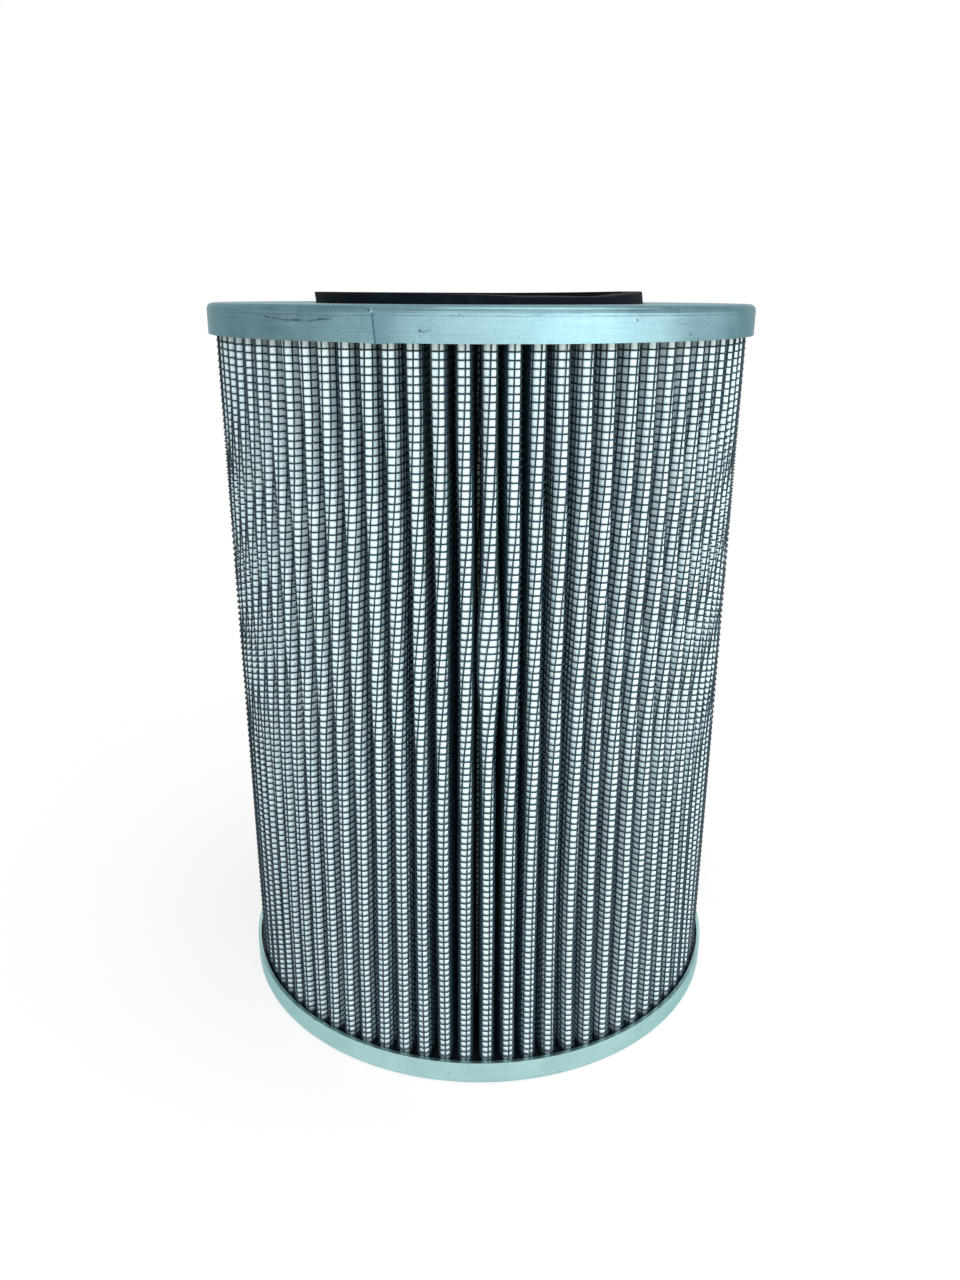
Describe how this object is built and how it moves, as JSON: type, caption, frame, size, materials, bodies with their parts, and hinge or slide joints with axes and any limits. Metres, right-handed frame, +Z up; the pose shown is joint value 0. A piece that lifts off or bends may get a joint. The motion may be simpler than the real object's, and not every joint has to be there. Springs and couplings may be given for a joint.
{
  "type": "pleated filter element",
  "caption": "Round pleated filter element with wire-backed folds between two pressed end caps, closed at the foot, with a rubber seal round the outlet on top.",
  "frame": {"origin": "centre of the lower cap's foot, on the element's axis", "axes": "+Z up the element's axis towards the outlet and its seal; -Y is the front, the side the knock in the rim is nearest to"},
  "size_m": [0.12, 0.12, 0.1665],
  "materials": {
    "cap_metal": "satin zinc-plated sheet",
    "core_metal": "plain tinned sheet",
    "seal_rubber": "matte black rubber",
    "coated_wire": "satin black epoxy coating on woven wire",
    "fibre_web": "matte white fibre",
    "adhesive": "cured dark adhesive"
  },
  "bodies": {
    "root": {"top_end_cap": "cap_metal", "bottom_end_cap": "cap_metal", "seal_ring": "seal_rubber", "core_tube": "core_metal", "outer_wire_mesh": "coated_wire", "filter_media": "fibre_web", "inner_wire_mesh": "coated_wire", "top_potting": "adhesive", "bottom_potting": "adhesive", "side_seam": "adhesive"}
  },
  "joints": []
}
